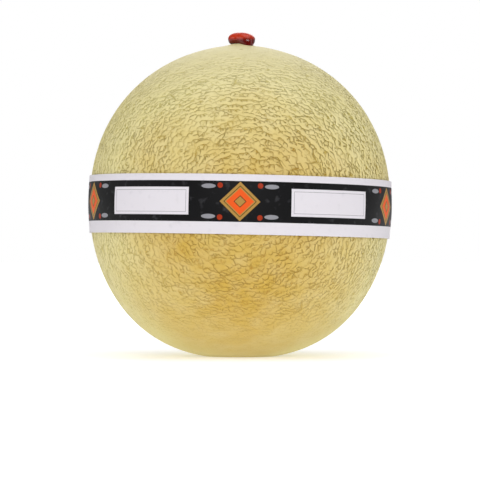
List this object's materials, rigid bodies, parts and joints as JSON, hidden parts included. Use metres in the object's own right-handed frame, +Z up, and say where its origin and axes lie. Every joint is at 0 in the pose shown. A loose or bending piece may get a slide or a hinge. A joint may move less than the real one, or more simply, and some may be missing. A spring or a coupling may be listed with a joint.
{
  "type": "netted melon with a wax-sealed stalk and a paper band",
  "caption": "Round netted melon standing stalk up on a small flat spot, with red wax over the cut stalk and a printed paper band round its middle.",
  "frame": {"origin": "middle of the small flat spot that the melon rests on", "axes": "+Z up along the stalk's axis, -Y towards the front, +X to the viewer's right"},
  "size_m": [0.1524, 0.1524, 0.1627],
  "materials": {
    "rind": "pale yellow-green netted rind, dull",
    "wax": "glossy red sealing wax",
    "paper": "coated white paper, printed"
  },
  "bodies": {
    "root": {"melon": "rind", "wax_seal": "wax", "paper_band": "paper"}
  },
  "joints": []
}
